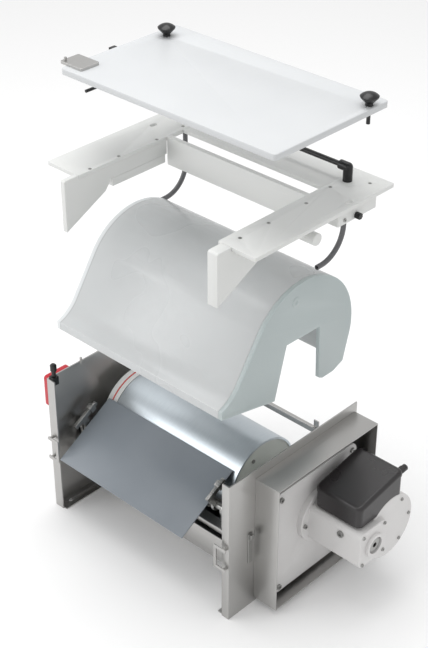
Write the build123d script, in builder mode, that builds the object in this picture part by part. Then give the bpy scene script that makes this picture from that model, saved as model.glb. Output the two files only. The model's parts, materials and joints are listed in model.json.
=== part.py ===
"""Scraped drum ice machine, shown opened up: base, hood, top frame and lid on one upright axis.

Millimetres, +Z up.  X runs along the drum (the gearmotor is on +X), -Y is the discharge side.
The origin is the centre of the base bolt pattern, on the floor.
"""
import os
from math import acos, asin, atan2, cos, degrees, hypot, radians, sin, sqrt

from build123d import *

os.makedirs("parts", exist_ok=True)

# ---------------------------------------------------------------- driving dimensions
# base frame
base_w = 560.0            # outer faces of the side plates
base_d = 410.0
base_h = 363.0
plate_t = 3.0             # stainless side plates
left_return = 25.0        # front edge of the left plate, turned inwards
right_return = 20.0
foot_w = 34.0             # bottom edge of each plate, turned inwards
bolt_dx = 526.0           # base bolt pattern
bolt_dy = 350.0
bolt_r = 4.5

# drum
axis_y = 31.0
axis_z = 183.0
drum_r = 103.6
drum_x0 = -219.0
drum_x1 = 163.0
drum_wall = 5.0
drum_end_t = 12.0
shaft_r = 17.5
run_gap = 0.06            # radial clearance of a running fit

# discharge plate and scraper
chute_top_y = -55.0
chute_top_z = 250.0
chute_front_y = -214.0
chute_front_z = 158.0
chute_x0 = -243.0
chute_x1 = 150.0
chute_t = 3.0
scraper_gap = 0.6         # blade edge to drum

# water trough
trough_x0 = -257.0
trough_x1 = 240.0
trough_y0 = -136.0
trough_y1 = 150.0
trough_z0 = 66.0
trough_z1 = 130.0
trough_t = 3.0

# drive
pan_d = 65.0
pan_y0 = -126.0
pan_y1 = 198.0
pan_z0 = 14.0
pan_z1 = 341.0
pan_t = 2.5
gear_plate_x = 320.0      # outer face of the gear mounting plate
gear_plate_t = 6.0
gear_flange_r = 66.0
gear_flange_t = 14.0
gear_w = 88.0             # gearbox housing across Y
gear_h = 92.0             # and across Z
gear_round = 14.0
gear_x1 = 475.0
case_r = 78.0             # outer gear case
case_t = 22.0
case_x1 = 462.0
motor_dy = 74.0           # motor axis behind the drum axis
motor_dz = -6.0
motor_r = 64.0

# hood
hood_y = 35.0             # arch centre
hood_z = 579.0            # arch centre, lifted off
hood_seat_z = 230.0       # arch centre, seated
hood_r = 158.0
hood_x0 = -228.0
hood_x1 = 259.0
hood_wall = 5.0
hood_end_t = 10.0
hood_back_low = 99.0      # back edge of the sheet, below the arch centre
hood_tail_low = 111.0     # tail of the right end, below the arch centre

# top frame
frame_x0 = -271.0
frame_x1 = 306.0
frame_y0 = -167.0
frame_y1 = 245.0
frame_top = 892.0
flange_t = 8.0
flange_w = 95.0
left_skirt_t = 12.0
right_skirt_t = 26.0
skirt_deep = 117.0        # front corner of a skirt, below the flange top
skirt_low = 40.0          # rest of it
skirt_front = 38.0        # ahead of the flanges
beam_y = 84.0
beam_t = 12.0
beam_h = 65.0
rear_panel_y = 133.0
leg_h = 48.0
skirt_back_y = 84.0
frame_rail_h = 18.0

# lid
lid_x0 = -270.5
lid_x1 = 304.5
lid_y0 = -118.0
lid_d = 328.0
lid_t = 13.0
lid_bottom = 1069.0
lid_seat_back = 161.0     # back edge of the lid when it lies on the frame

seat_gap = 0.4            # between bodies that touch when the machine is closed


def keep(piece, label):
    piece.label = label
    export_step(piece, f"parts/{label}.step")


def keep_group(label, *pieces):
    """Several pieces in one node; pieces that meet become one solid, the others stay apart."""
    with BuildPart() as group:
        for piece in pieces:
            add(piece)
    keep(group.part, label)


half_w = base_w / 2
half_d = base_d / 2
inner_x = half_w - plate_t
journal_hole_r = shaft_r + 8


# ---------------------------------------------------------------- small shapes used in several places
def rod_x(x0, x1, y, z, radius, bore=0.0):
    """A round bar along X from x0 to x1, bored through if asked."""
    with BuildPart() as rod:
        with BuildSketch(Plane.YZ.offset(x0)):
            with Locations((y, z)):
                Circle(radius)
                if bore:
                    Circle(bore, mode=Mode.SUBTRACT)
        extrude(amount=x1 - x0)
    return rod.part


def rod_z(x, y, z0, z1, radius, bore=0.0):
    """A round upright bar from z0 to z1, bored through if asked."""
    with BuildPart() as rod:
        with BuildSketch(Plane.XY.offset(z0)):
            with Locations((x, y)):
                Circle(radius)
                if bore:
                    Circle(bore, mode=Mode.SUBTRACT)
        extrude(amount=z1 - z0)
    return rod.part


def block(x0, x1, y0, y1, z0, z1, round_r=0.0):
    """A block between two corners, its upright edges rounded if asked."""
    with BuildPart() as solid:
        with BuildSketch(Plane.XY.offset(z0)):
            with Locations(((x0 + x1) / 2, (y0 + y1) / 2)):
                if round_r:
                    RectangleRounded(x1 - x0, y1 - y0, round_r)
                else:
                    Rectangle(x1 - x0, y1 - y0)
        extrude(amount=z1 - z0)
    return solid.part


def slab_x(x0, x1, *points):
    """A flat piece from x0 to x1 whose outline in YZ is a polygon."""
    with BuildPart() as solid:
        with BuildSketch(Plane.YZ.offset(x0)):
            with BuildLine():
                Polyline(*points, close=True)
            make_face()
        extrude(amount=x1 - x0)
    return solid.part


def screws_x(x_face, points, head_r, head_t, direction=1):
    """Socket screw heads that stand on a face across X."""
    with BuildPart() as heads:
        with BuildSketch(Plane.YZ.offset(x_face)):
            with Locations(*points):
                Circle(head_r)
        extrude(amount=direction * head_t)
        with BuildSketch(Plane.YZ.offset(x_face + direction * head_t)):
            with Locations(*points):
                RegularPolygon(head_r * 0.5, 6)
        extrude(amount=-direction * head_t * 0.6, mode=Mode.SUBTRACT)
    return heads.part


def screws_z(z_face, points, head_r, head_t):
    """Socket screw heads that stand on a level face."""
    with BuildPart() as heads:
        with BuildSketch(Plane.XY.offset(z_face)):
            with Locations(*points):
                Circle(head_r)
        extrude(amount=head_t)
        with BuildSketch(Plane.XY.offset(z_face + head_t)):
            with Locations(*points):
                RegularPolygon(head_r * 0.5, 6)
        extrude(amount=-head_t * 0.6, mode=Mode.SUBTRACT)
    return heads.part


# ---------------------------------------------------------------- base: side plates and rails
def side_plate(side, return_w):
    """A plate folded inwards at its front and bottom edges; side is -1 left, +1 right."""
    outer = side * half_w
    with BuildPart() as plate:
        with BuildSketch(Plane.XY):
            with BuildLine():
                Polyline(
                    (outer, -half_d),
                    (outer, half_d),
                    (outer - side * plate_t, half_d),
                    (outer - side * plate_t, -half_d + plate_t),
                    (outer - side * return_w, -half_d + plate_t),
                    (outer - side * return_w, -half_d),
                    close=True,
                )
            make_face()
        extrude(amount=base_h)
        with Locations((outer - side * foot_w / 2, plate_t / 2, plate_t / 2)):
            Box(foot_w, base_d - plate_t, plate_t)
        with Locations(Plane.XY.offset(plate_t)):
            with Locations((side * bolt_dx / 2, -bolt_dy / 2), (side * bolt_dx / 2, bolt_dy / 2)):
                Hole(bolt_r, plate_t)
        with BuildSketch(Plane.YZ.offset(outer - side * plate_t / 2)):
            with Locations((axis_y, axis_z)):
                Circle(journal_hole_r)
        extrude(amount=plate_t, both=True, mode=Mode.SUBTRACT)
    return plate.part


support_gap = 0.3
support_t = 3.0
support_drop = 30.0
support_y0 = -58.0
support_y1 = 62.0


def trough_support(side, reach_x):
    """An angle on the inner face of a side plate that carries the trough."""
    inner = side * inner_x
    top = trough_z0 - support_gap
    with BuildPart() as support:
        with BuildSketch(Plane.XZ.offset(-support_y1)):
            with BuildLine():
                Polyline(
                    (inner, trough_z0 - support_drop),
                    (inner, top),
                    (reach_x, top),
                    (reach_x, top - support_t),
                    (inner - side * support_t, top - support_t),
                    (inner - side * support_t, trough_z0 - support_drop),
                    close=True,
                )
            make_face()
        extrude(amount=support_y1 - support_y0)
    return support.part


stud_r = 3.0
stud_y = -105.0
stud_up = 9.0
locating_stud = rod_z(-inner_x, stud_y, base_h - stud_up, base_h + stud_up, stud_r)
keep_group(
    "left_side_plate",
    side_plate(-1, left_return),
    trough_support(-1, trough_x0 + 30),
    locating_stud,
)
keep_group("right_side_plate", side_plate(1, right_return), trough_support(1, trough_x1 - 12))

rail_w = 10.0
rail_h = 14.0
rail_z = 232.0
rail_wall = 2.0
bracket_x = 166.0
bracket_w = 14.0
with BuildPart() as rear_rail:
    with BuildSketch(Plane.YZ.offset(-inner_x)):
        with Locations((half_d - rail_w / 2, rail_z)):
            RectangleRounded(rail_w, rail_h, 1.5)
            Rectangle(rail_w - 2 * rail_wall, rail_h - 2 * rail_wall, mode=Mode.SUBTRACT)
    extrude(amount=2 * inner_x)
rail_top = rail_z + rail_h / 2
rail_bracket = slab_x(
    bracket_x,
    bracket_x + bracket_w,
    (half_d - rail_w, rail_top),
    (half_d, rail_top),
    (half_d, rail_top + 3),
    (half_d - 3, rail_top + 3),
    (half_d - 3, rail_top + 20),
    (half_d - 6, rail_top + 20),
    (half_d - 6, rail_top + 3),
    (half_d - rail_w, rail_top + 3),
)
keep_group("rear_rail", rear_rail.part, rail_bracket)

# hollow tie bar between the two plates, low at the back
tie_y = 172.0
tie_z = 42.0
tie_w = 20.0
tie_h = 30.0
tie_wall = 2.0
with BuildPart() as tie_bar:
    with BuildSketch(Plane.YZ.offset(-inner_x)):
        with Locations((tie_y, tie_z)):
            RectangleRounded(tie_w, tie_h, 2)
            Rectangle(tie_w - 2 * tie_wall, tie_h - 2 * tie_wall, mode=Mode.SUBTRACT)
    extrude(amount=2 * inner_x)
keep(tie_bar.part, "bottom_tie_bar")


# ---------------------------------------------------------------- water trough
def trough_profile(inset):
    with BuildSketch(Plane.XY.offset(trough_z0 + inset)) as outline:
        with Locations(((trough_x0 + trough_x1) / 2, (trough_y0 + trough_y1) / 2)):
            RectangleRounded(
                trough_x1 - trough_x0 - 2 * inset, trough_y1 - trough_y0 - 2 * inset, 12 - inset
            )
    return outline.sketch


drain_in = 40.0
drain_x = trough_x1 - drain_in
drain_y = trough_y1 - drain_in
drain_pipe_r = 8.8
drain_bore_r = 6.5
drain_neck_r = 10.0
drain_nut_r = 14.0
drain_nut_t = 4.0
drain_l = 28.0
with BuildPart() as trough:
    extrude(trough_profile(0), amount=trough_z1 - trough_z0)
    extrude(trough_profile(trough_t), amount=trough_z1 - trough_z0, mode=Mode.SUBTRACT)
    with BuildSketch(Plane.XY.offset(trough_z0)):
        with Locations((drain_x, drain_y)):
            Circle(drain_neck_r + 0.1)
    extrude(amount=trough_t, mode=Mode.SUBTRACT)
keep(trough.part, "water_trough")

drain_rim_z = trough_z0 + trough_t
drain_nut_z = trough_z0 - drain_nut_t
keep_group(
    "trough_drain",
    rod_z(drain_x, drain_y, drain_rim_z, drain_rim_z + trough_t, drain_nut_r, drain_bore_r),
    rod_z(drain_x, drain_y, trough_z0, drain_rim_z, drain_neck_r, drain_bore_r),
    rod_z(drain_x, drain_y, drain_nut_z, trough_z0, drain_nut_r, drain_bore_r),
    rod_z(drain_x, drain_y, drain_nut_z - drain_l, drain_nut_z, drain_pipe_r, drain_bore_r),
)


# ---------------------------------------------------------------- drum and its bearings
with BuildPart() as drum_shell:
    with BuildSketch(Plane.YZ.offset(drum_x0)):
        with Locations((axis_y, axis_z)):
            Circle(drum_r)
            Circle(drum_r - drum_wall, mode=Mode.SUBTRACT)
    extrude(amount=drum_x1 - drum_x0)
keep(drum_shell.part, "drum_shell")

end_recess = 2.0
left_end_x = drum_x0 + end_recess
right_end_x = drum_x1 - end_recess
keep(
    rod_x(left_end_x, left_end_x + drum_end_t, axis_y, axis_z, drum_r - drum_wall, shaft_r),
    "drum_left_end",
)
keep(
    rod_x(right_end_x - drum_end_t, right_end_x, axis_y, axis_z, drum_r - drum_wall, shaft_r),
    "drum_right_end",
)
end_screw_r = 74.0
end_points = [
    (axis_y + end_screw_r * cos(radians(a)), axis_z + end_screw_r * sin(radians(a)))
    for a in (25, 115, 205, 295)
]
keep(screws_x(right_end_x, end_points, 4.5, 2.5), "drum_end_screws")

union_x0 = -352.0
shaft_x0 = union_x0 + 30
shaft_x1 = gear_x1 + 4
end_thread_r = 6.0
end_thread_l = 28.0
oil_bore_r = 6.0
with BuildPart() as drum_shaft:
    with BuildSketch(Plane.YZ.offset(shaft_x0)):
        with Locations((axis_y, axis_z)):
            Circle(shaft_r)
    extrude(amount=shaft_x1 - shaft_x0)
    with BuildSketch(Plane.YZ.offset(shaft_x1)):
        with Locations((axis_y, axis_z)):
            Circle(end_thread_r)
    extrude(amount=-end_thread_l, mode=Mode.SUBTRACT)
    with BuildSketch(Plane.YZ.offset(shaft_x0)):
        with Locations((axis_y, axis_z)):
            Circle(oil_bore_r)
    extrude(amount=drum_x0 - shaft_x0 + 60, mode=Mode.SUBTRACT)
    chamfer(drum_shaft.faces().sort_by(Axis.X)[-1].outer_wire().edges(), 1.2)
keep(drum_shaft.part, "drum_shaft")

bearing_r = 34.0
bearing_w = 17.0
left_housing_r = 52.0
left_housing_x1 = -250.0
with BuildPart() as left_housing:
    with BuildSketch(Plane.YZ.offset(-inner_x)):
        with Locations((axis_y, axis_z)):
            Circle(left_housing_r)
            Circle(shaft_r + 2, mode=Mode.SUBTRACT)
    extrude(amount=left_housing_x1 + inner_x)
    with BuildSketch(Plane.YZ.offset(left_housing_x1)):
        with Locations((axis_y, axis_z)):
            Circle(bearing_r)
    extrude(amount=-bearing_w, mode=Mode.SUBTRACT)
keep(left_housing.part, "left_bearing_housing")


def ball_bearing(x0):
    """A sealed ball bearing: two rings with a shield between, turned as one."""
    with BuildPart() as bearing:
        with BuildSketch(Plane.YZ.offset(x0)):
            with Locations((axis_y, axis_z)):
                Circle(bearing_r)
                Circle(shaft_r + run_gap, mode=Mode.SUBTRACT)
        extrude(amount=bearing_w)
        for face_x, way in ((x0, 1), (x0 + bearing_w, -1)):
            with BuildSketch(Plane.YZ.offset(face_x)):
                with Locations((axis_y, axis_z)):
                    Circle(bearing_r - 5)
                    Circle(shaft_r + 5, mode=Mode.SUBTRACT)
            extrude(amount=way * 1.2, mode=Mode.SUBTRACT)
    return bearing.part


right_housing_r = 42.0
right_housing_x0 = 176.0
with BuildPart() as right_housing:
    with BuildSketch(Plane.YZ.offset(right_housing_x0)):
        with Locations((axis_y, axis_z)):
            Circle(right_housing_r)
            Circle(shaft_r + 2, mode=Mode.SUBTRACT)
    extrude(amount=inner_x - right_housing_x0)
    with BuildSketch(Plane.YZ.offset(right_housing_x0)):
        with Locations((axis_y, axis_z)):
            Circle(bearing_r)
    extrude(amount=bearing_w, mode=Mode.SUBTRACT)
keep(right_housing.part, "right_bearing_housing")
keep_group(
    "drum_bearings", ball_bearing(left_housing_x1 - bearing_w), ball_bearing(right_housing_x0)
)

# ringed seal between the drum's left end and the left housing
seal_t = 3.0
seal_proud = 0.8
seal_x0 = -236.0
ring_wall = 12.0
drum_gap = 2.0
keep_group(
    "left_end_rings",
    rod_x(left_housing_x1, seal_x0, axis_y, axis_z, drum_r, bearing_r),
    rod_x(seal_x0 + seal_t, drum_x0 - drum_gap, axis_y, axis_z, drum_r, drum_r - ring_wall),
)
seal_bore = drum_r - ring_wall
keep(rod_x(seal_x0, seal_x0 + seal_t, axis_y, axis_z, drum_r + seal_proud, seal_bore), "red_end_seal")

# rotary union on the free end of the shaft, outside the left plate, with its hose port upwards
union_r = 27.0
union_cap_t = 6.0
union_seat = 26.0
port_r = 7.0
port_bore_r = 4.0
port_l = 30.0
port_x = shaft_x0 - 16
port_collar_r = 9.5
port_collar_up = 2.0
with BuildPart() as rotary_union:
    with BuildSketch(Plane.YZ.offset(union_x0)):
        with Locations((axis_y, axis_z)):
            Circle(union_r)
    extrude(amount=-half_w - union_x0)
    fillet(rotary_union.faces().sort_by(Axis.X)[0].outer_wire().edges(), 3)
    with BuildSketch(Plane.XY.offset(axis_z)):
        with Locations((port_x, axis_y)):
            Circle(port_r)
    extrude(amount=union_r + port_l)
    with BuildSketch(Plane.XY.offset(axis_z)):
        with Locations((port_x, axis_y)):
            Circle(port_collar_r)
    extrude(amount=union_r + port_collar_up)
    with BuildSketch(Plane.XY.offset(axis_z)):
        with Locations((port_x, axis_y)):
            Circle(port_bore_r)
    extrude(amount=union_r + port_l, mode=Mode.SUBTRACT)
    with BuildSketch(Plane.YZ.offset(union_x0 + union_cap_t)):
        with Locations((axis_y, axis_z)):
            Circle(oil_bore_r + 2)
    extrude(amount=union_seat, mode=Mode.SUBTRACT)
    with BuildSketch(Plane.YZ.offset(union_x0 + union_seat)):
        with Locations((axis_y, axis_z)):
            Circle(shaft_r + run_gap)
    extrude(amount=-half_w - union_x0 - union_seat, mode=Mode.SUBTRACT)
keep(rotary_union.part, "rotary_union")


# ---------------------------------------------------------------- discharge plate, scraper and arms
chute_len = hypot(chute_top_y - chute_front_y, chute_top_z - chute_front_z)
down_y = (chute_front_y - chute_top_y) / chute_len
down_z = (chute_front_z - chute_top_z) / chute_len


def on_chute(along, above):
    """(Y, Z) of a point, along the plate from its top edge and square above its face."""
    return (
        chute_top_y + down_y * along + down_z * above,
        chute_top_z + down_z * along - down_y * above,
    )


def chute_bar(x0, x1, along0, along1, above0, above1):
    """A bar with its section laid along the discharge plate."""
    with BuildPart() as bar:
        with BuildSketch(Plane.YZ.offset(x0)):
            with BuildLine():
                Polyline(
                    on_chute(along0, above0),
                    on_chute(along1, above0),
                    on_chute(along1, above1),
                    on_chute(along0, above1),
                    close=True,
                )
            make_face()
        extrude(amount=x1 - x0)
    return bar.part


keep(chute_bar(chute_x0, chute_x1, 0, chute_len, -chute_t, 0), "discharge_plate")

# the blade lies under the plate, over the drum's length, and its edge points at the drum
blade_t = 2.0
blade_len = 34.0
blade_in = 3.0
under_y, under_z = on_chute(0, -chute_t - blade_t)
along_drum = (under_y - axis_y) * down_y + (under_z - axis_z) * down_z
off_drum = (under_y - axis_y) ** 2 + (under_z - axis_z) ** 2 - (drum_r + scraper_gap) ** 2
blade_tip = sqrt(max(along_drum**2 - off_drum, 0)) - along_drum
keep(
    chute_bar(
        drum_x0 + blade_in,
        chute_x1 - blade_in,
        blade_tip,
        blade_tip + blade_len,
        -chute_t - blade_t,
        -chute_t,
    ),
    "scraper_blade",
)

carrier_s = 24.0
carrier_along = 78.0
carrier_in = 8.0
carrier_above = -chute_t - carrier_s / 2
pivot_y, pivot_z = on_chute(carrier_along, carrier_above)
carrier_x0 = chute_x0 + carrier_in
carrier_x1 = chute_x1 - carrier_in
carrier_bar = chute_bar(
    carrier_x0,
    carrier_x1,
    carrier_along - carrier_s / 2,
    carrier_along + carrier_s / 2,
    -chute_t - carrier_s,
    -chute_t,
)
keep(carrier_bar, "scraper_carrier")

pin_r = 8.0
arm_t = 8.0
left_arm_x = -253.0
right_arm_x = 155.0
lug_t = 8.0
left_lug_x = -266.0
right_lug_x = 182.0
keep_group(
    "scraper_pins",
    rod_x(left_lug_x, carrier_x0, pivot_y, pivot_z, pin_r),
    rod_x(carrier_x1, right_lug_x + lug_t, pivot_y, pivot_z, pin_r),
)

arm_above0 = 15.0         # the arm's bar, square above the plate's face
arm_above1 = 27.0
arm_start = 54.0
arm_hub_wall = 6.0
arm_web_half = 9.0        # upright web between the hub and the bar
arm_web_top = 20.0
left_arm_end = 106.0      # along the plate, where each arm's bar ends
right_arm_end = 90.0
block_start = 40.0
block_wall = 3.0
tip_l = 10.0
tip_taper = 2.0


def scraper_arm(x0, along1):
    """Arm on the pin, with a bar that runs beside the plate and above its face."""
    with BuildPart() as arm:
        with BuildSketch(Plane.YZ.offset(x0)):
            with Locations((pivot_y, pivot_z)):
                Circle(pin_r + arm_hub_wall)
            with BuildLine():
                Polyline(
                    on_chute(arm_start, arm_above0),
                    on_chute(along1, arm_above0),
                    on_chute(along1, arm_above1),
                    on_chute(arm_start, arm_above1),
                    close=True,
                )
            make_face()
            with BuildLine():
                Polyline(
                    on_chute(carrier_along - arm_web_half, carrier_above),
                    on_chute(carrier_along + arm_web_half, carrier_above),
                    on_chute(carrier_along + arm_web_half, arm_web_top),
                    on_chute(carrier_along - arm_web_half, arm_web_top),
                    close=True,
                )
            make_face()
            with Locations((pivot_y, pivot_z)):
                Circle(pin_r, mode=Mode.SUBTRACT)
        extrude(amount=arm_t)
    return arm.part


def arm_tip(x0):
    """Tapered end piece ahead of the clamping block."""
    tip_start = block_start - tip_l
    return slab_x(
        x0,
        x0 + arm_t,
        on_chute(tip_start, arm_above0 + tip_taper),
        on_chute(block_start, arm_above0),
        on_chute(block_start, arm_above1),
        on_chute(tip_start, arm_above1 - tip_taper),
    )


def arm_block(x0):
    """Clamping block round the arm's bar."""
    return chute_bar(
        x0 - block_wall,
        x0 + arm_t + block_wall,
        block_start,
        arm_start,
        arm_above0 - block_wall,
        arm_above1 + block_wall,
    )


keep_group(
    "scraper_arms",
    scraper_arm(left_arm_x, left_arm_end),
    scraper_arm(right_arm_x, right_arm_end),
)
keep_group("arm_blocks", arm_block(left_arm_x), arm_block(right_arm_x))
keep_group("arm_tips", arm_tip(left_arm_x), arm_tip(right_arm_x))

# cross rail that carries the scraper pins in two lugs
cross_y0 = -126.0
cross_y1 = -100.0
cross_z0 = trough_z1 + 2
cross_z1 = trough_z1 + 16
cross_wall = 2.5
with BuildPart() as cross_rail:
    with BuildSketch(Plane.YZ.offset(-inner_x)):
        with Locations(((cross_y0 + cross_y1) / 2, (cross_z0 + cross_z1) / 2)):
            RectangleRounded(cross_y1 - cross_y0, cross_z1 - cross_z0, 2)
            RectangleRounded(
                cross_y1 - cross_y0 - 2 * cross_wall,
                cross_z1 - cross_z0 - 2 * cross_wall,
                1,
                mode=Mode.SUBTRACT,
            )
    extrude(amount=2 * inner_x)
keep(cross_rail.part, "scraper_cross_rail")


lug_wall = 7.0


def pivot_lug(x0):
    """Ear that stands on the cross rail and holds one scraper pin."""
    with BuildPart() as lug:
        with BuildSketch(Plane.YZ.offset(x0)):
            with Locations((pivot_y, pivot_z)):
                Circle(pin_r + lug_wall)
            with BuildLine():
                Polyline(
                    (pivot_y - pin_r - lug_wall + 2, pivot_z),
                    (cross_y0, cross_z1),
                    (cross_y1, cross_z1),
                    (pivot_y + pin_r + lug_wall, pivot_z),
                    close=True,
                )
            make_face()
            with Locations((pivot_y, pivot_z)):
                Circle(pin_r + run_gap, mode=Mode.SUBTRACT)
        extrude(amount=lug_t)
    return lug.part


keep_group("pivot_lugs", pivot_lug(left_lug_x), pivot_lug(right_lug_x))


# ---------------------------------------------------------------- drive pan and gearmotor
with BuildPart() as drive_pan:
    with BuildSketch(Plane.YZ.offset(half_w)):
        with Locations(((pan_y0 + pan_y1) / 2, (pan_z0 + pan_z1) / 2)):
            Rectangle(pan_y1 - pan_y0, pan_z1 - pan_z0)
    extrude(amount=pan_d)
    with BuildSketch(Plane.YZ.offset(half_w + pan_t)):
        with Locations(((pan_y0 + pan_y1) / 2, (pan_z0 + pan_z1) / 2)):
            Rectangle(pan_y1 - pan_y0 - 2 * pan_t, pan_z1 - pan_z0 - 2 * pan_t)
    extrude(amount=pan_d, mode=Mode.SUBTRACT)
    with BuildSketch(Plane.YZ.offset(half_w)):
        with Locations((axis_y, axis_z)):
            Circle(journal_hole_r)
    extrude(amount=pan_t, mode=Mode.SUBTRACT)
keep(drive_pan.part, "drive_pan")

gear_plate_y0 = -106.0
gear_plate_y1 = 160.0
gear_plate_z0 = 28.0
gear_plate_z1 = 302.0
corner_in = 16.0
standoff_r = 9.0
gear_corners = [
    (gear_plate_y0 + corner_in, gear_plate_z0 + corner_in),
    (gear_plate_y0 + corner_in, gear_plate_z1 - corner_in),
    (gear_plate_y1 - corner_in, gear_plate_z0 + corner_in),
    (gear_plate_y1 - corner_in, gear_plate_z1 - corner_in),
]
with BuildPart() as gear_plate:
    with BuildSketch(Plane.YZ.offset(gear_plate_x - gear_plate_t)):
        with Locations(((gear_plate_y0 + gear_plate_y1) / 2, (gear_plate_z0 + gear_plate_z1) / 2)):
            RectangleRounded(gear_plate_y1 - gear_plate_y0, gear_plate_z1 - gear_plate_z0, 20)
        with Locations((axis_y, axis_z)):
            Circle(shaft_r + 6, mode=Mode.SUBTRACT)
    extrude(amount=gear_plate_t)
keep(gear_plate.part, "gear_mounting_plate")

with BuildPart() as standoffs:
    with BuildSketch(Plane.YZ.offset(half_w + pan_t)):
        with Locations(*gear_corners):
            Circle(standoff_r)
    extrude(amount=gear_plate_x - gear_plate_t - half_w - pan_t)

boss_r = 27.0
boss_t = 7.0
with BuildPart() as gear_housing:
    with BuildSketch(Plane.YZ.offset(gear_plate_x)):
        with Locations((axis_y, axis_z)):
            Circle(gear_flange_r)
    extrude(amount=gear_flange_t)
    chamfer(gear_housing.faces().sort_by(Axis.X)[-1].edges(), 2)
    with BuildSketch(Plane.YZ.offset(gear_plate_x + gear_flange_t)):
        with Locations((axis_y, axis_z)):
            RectangleRounded(gear_w, gear_h, gear_round)
    extrude(amount=gear_x1 - gear_plate_x - gear_flange_t)
    fillet(gear_housing.faces().sort_by(Axis.X)[-1].edges(), 3)
    with BuildSketch(Plane.YZ.offset(gear_x1)):
        with Locations((axis_y, axis_z)):
            Circle(boss_r)
    extrude(amount=boss_t)
    with BuildSketch(Plane.YZ.offset(gear_x1 + boss_t)):
        with Locations((axis_y, axis_z)):
            Circle(shaft_r + 2.5)
    extrude(amount=-boss_t, mode=Mode.SUBTRACT)
    with BuildSketch(Plane.YZ.offset(gear_plate_x)):
        with Locations((axis_y, axis_z)):
            Circle(shaft_r + run_gap)
    extrude(amount=gear_x1 - gear_plate_x, mode=Mode.SUBTRACT)
keep(gear_housing.part, "gear_housing")

# threaded plugs on the -Y face and the top of the housing, each with a hexagon socket
plug_r = 8.0
plug_t = 4.0
socket_r = 4.2
socket_deep = 2.5
front_plugs = [(422, axis_z + 24)]
top_plugs = [(386, axis_y - 17), (406, axis_y - 12)]
housing_front = axis_y - gear_w / 2
housing_top = axis_z + gear_h / 2
with BuildPart() as plugs:
    with BuildSketch(Plane.XZ.offset(-housing_front)):
        with Locations(*front_plugs):
            Circle(plug_r)
    extrude(amount=plug_t)
    with BuildSketch(Plane.XZ.offset(plug_t - housing_front)):
        with Locations(*front_plugs):
            RegularPolygon(socket_r, 6)
    extrude(amount=-socket_deep, mode=Mode.SUBTRACT)
    with BuildSketch(Plane.XY.offset(housing_top)):
        with Locations(*top_plugs):
            Circle(plug_r)
    extrude(amount=plug_t)
    with BuildSketch(Plane.XY.offset(housing_top + plug_t)):
        with Locations(*top_plugs):
            RegularPolygon(socket_r, 6)
    extrude(amount=-socket_deep, mode=Mode.SUBTRACT)

# outer gear case: a round cover on the motor axis, cut out round the housing
motor_y = axis_y + motor_dy
motor_z = axis_z + motor_dz
case_x0 = case_x1 - case_t
case_gap = 0.2
rotor_shaft_r = 8.0
rotor_tail = 10.0
with BuildPart() as gear_case:
    with BuildSketch(Plane.YZ.offset(case_x0)):
        with Locations((motor_y, motor_z)):
            Circle(case_r)
    extrude(amount=case_t)
    fillet(gear_case.faces().sort_by(Axis.X)[-1].edges(), 4)
    with BuildSketch(Plane.YZ.offset(case_x0)):
        with Locations((axis_y, axis_z)):
            RectangleRounded(gear_w + 2 * case_gap, gear_h + 2 * case_gap, gear_round)
    extrude(amount=case_t, mode=Mode.SUBTRACT)
    with BuildSketch(Plane.YZ.offset(case_x0)):
        with Locations((motor_y, motor_z)):
            Circle(rotor_shaft_r + 6)
    extrude(amount=rotor_tail + 4, mode=Mode.SUBTRACT)
keep(gear_case.part, "gear_case")

corner_screw_in = 9.0
corner_dy = gear_w / 2 - corner_screw_in
corner_dz = gear_h / 2 - corner_screw_in
corner_points = [(axis_y + i * corner_dy, axis_z + k * corner_dz) for i in (-1, 1) for k in (-1, 1)]
flange_screw_r = gear_flange_r - 9
flange_points = [
    (axis_y + flange_screw_r * cos(radians(a)), axis_z + flange_screw_r * sin(radians(a)))
    for a in (0, 90, 180, 270)
]
case_screw_r = case_r - 13
case_points = [
    (motor_y + case_screw_r * cos(radians(a)), motor_z + case_screw_r * sin(radians(a)))
    for a in (-56, 0, 56)
]
keep_group(
    "drive_fasteners",
    standoffs.part,
    screws_x(gear_plate_x, gear_corners, 6.5, 5),
    screws_x(gear_plate_x + gear_flange_t, flange_points, 5, 5),
    screws_x(gear_x1, corner_points, 4, 3),
    screws_x(case_x1, case_points, 4, 2.5),
    plugs.part,
)

# motor: a ribbed body, closed at both ends, with the rotor inside
motor_x0 = 345.0
motor_wall = 8.0
rib_deep = 5.0
rib_count = 36
rib_groove_w = 4.5
bell_r = 30.0
with BuildPart() as motor_body:
    with BuildSketch(Plane.YZ.offset(motor_x0)):
        with Locations((motor_y, motor_z)):
            Circle(motor_r)
            with PolarLocations(motor_r, rib_count):
                Rectangle(2 * rib_deep, rib_groove_w, mode=Mode.SUBTRACT)
        with Locations((axis_y, axis_z)):
            RectangleRounded(
                gear_w + 2 * case_gap, gear_h + 2 * case_gap, gear_round, mode=Mode.SUBTRACT
            )
    extrude(amount=case_x0 - motor_x0)
    with BuildSketch(Plane.YZ.offset(motor_x0 + motor_wall)):
        with Locations((motor_y, motor_z)):
            Circle(bell_r - 4)
    extrude(amount=case_x0 - motor_x0 - 2 * motor_wall, mode=Mode.SUBTRACT)
    with BuildSketch(Plane.YZ.offset(case_x0)):
        with Locations((motor_y, motor_z)):
            Circle(rotor_shaft_r + run_gap)
    extrude(amount=-(case_x0 - motor_x0 - 2), mode=Mode.SUBTRACT)
keep(motor_body.part, "motor_body")

rotor_r = 22.0
rotor_l = 52.0
rotor_mid = (motor_x0 + case_x0) / 2
with BuildPart() as motor_rotor:
    with BuildSketch(Plane.YZ.offset(motor_x0 + 3)):
        with Locations((motor_y, motor_z)):
            Circle(rotor_shaft_r)
    extrude(amount=case_x0 + rotor_tail - motor_x0 - 3)
    with BuildSketch(Plane.YZ.offset(rotor_mid - rotor_l / 2)):
        with Locations((motor_y, motor_z)):
            Circle(rotor_r)
    extrude(amount=rotor_l)
keep(motor_rotor.part, "motor_rotor")

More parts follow.
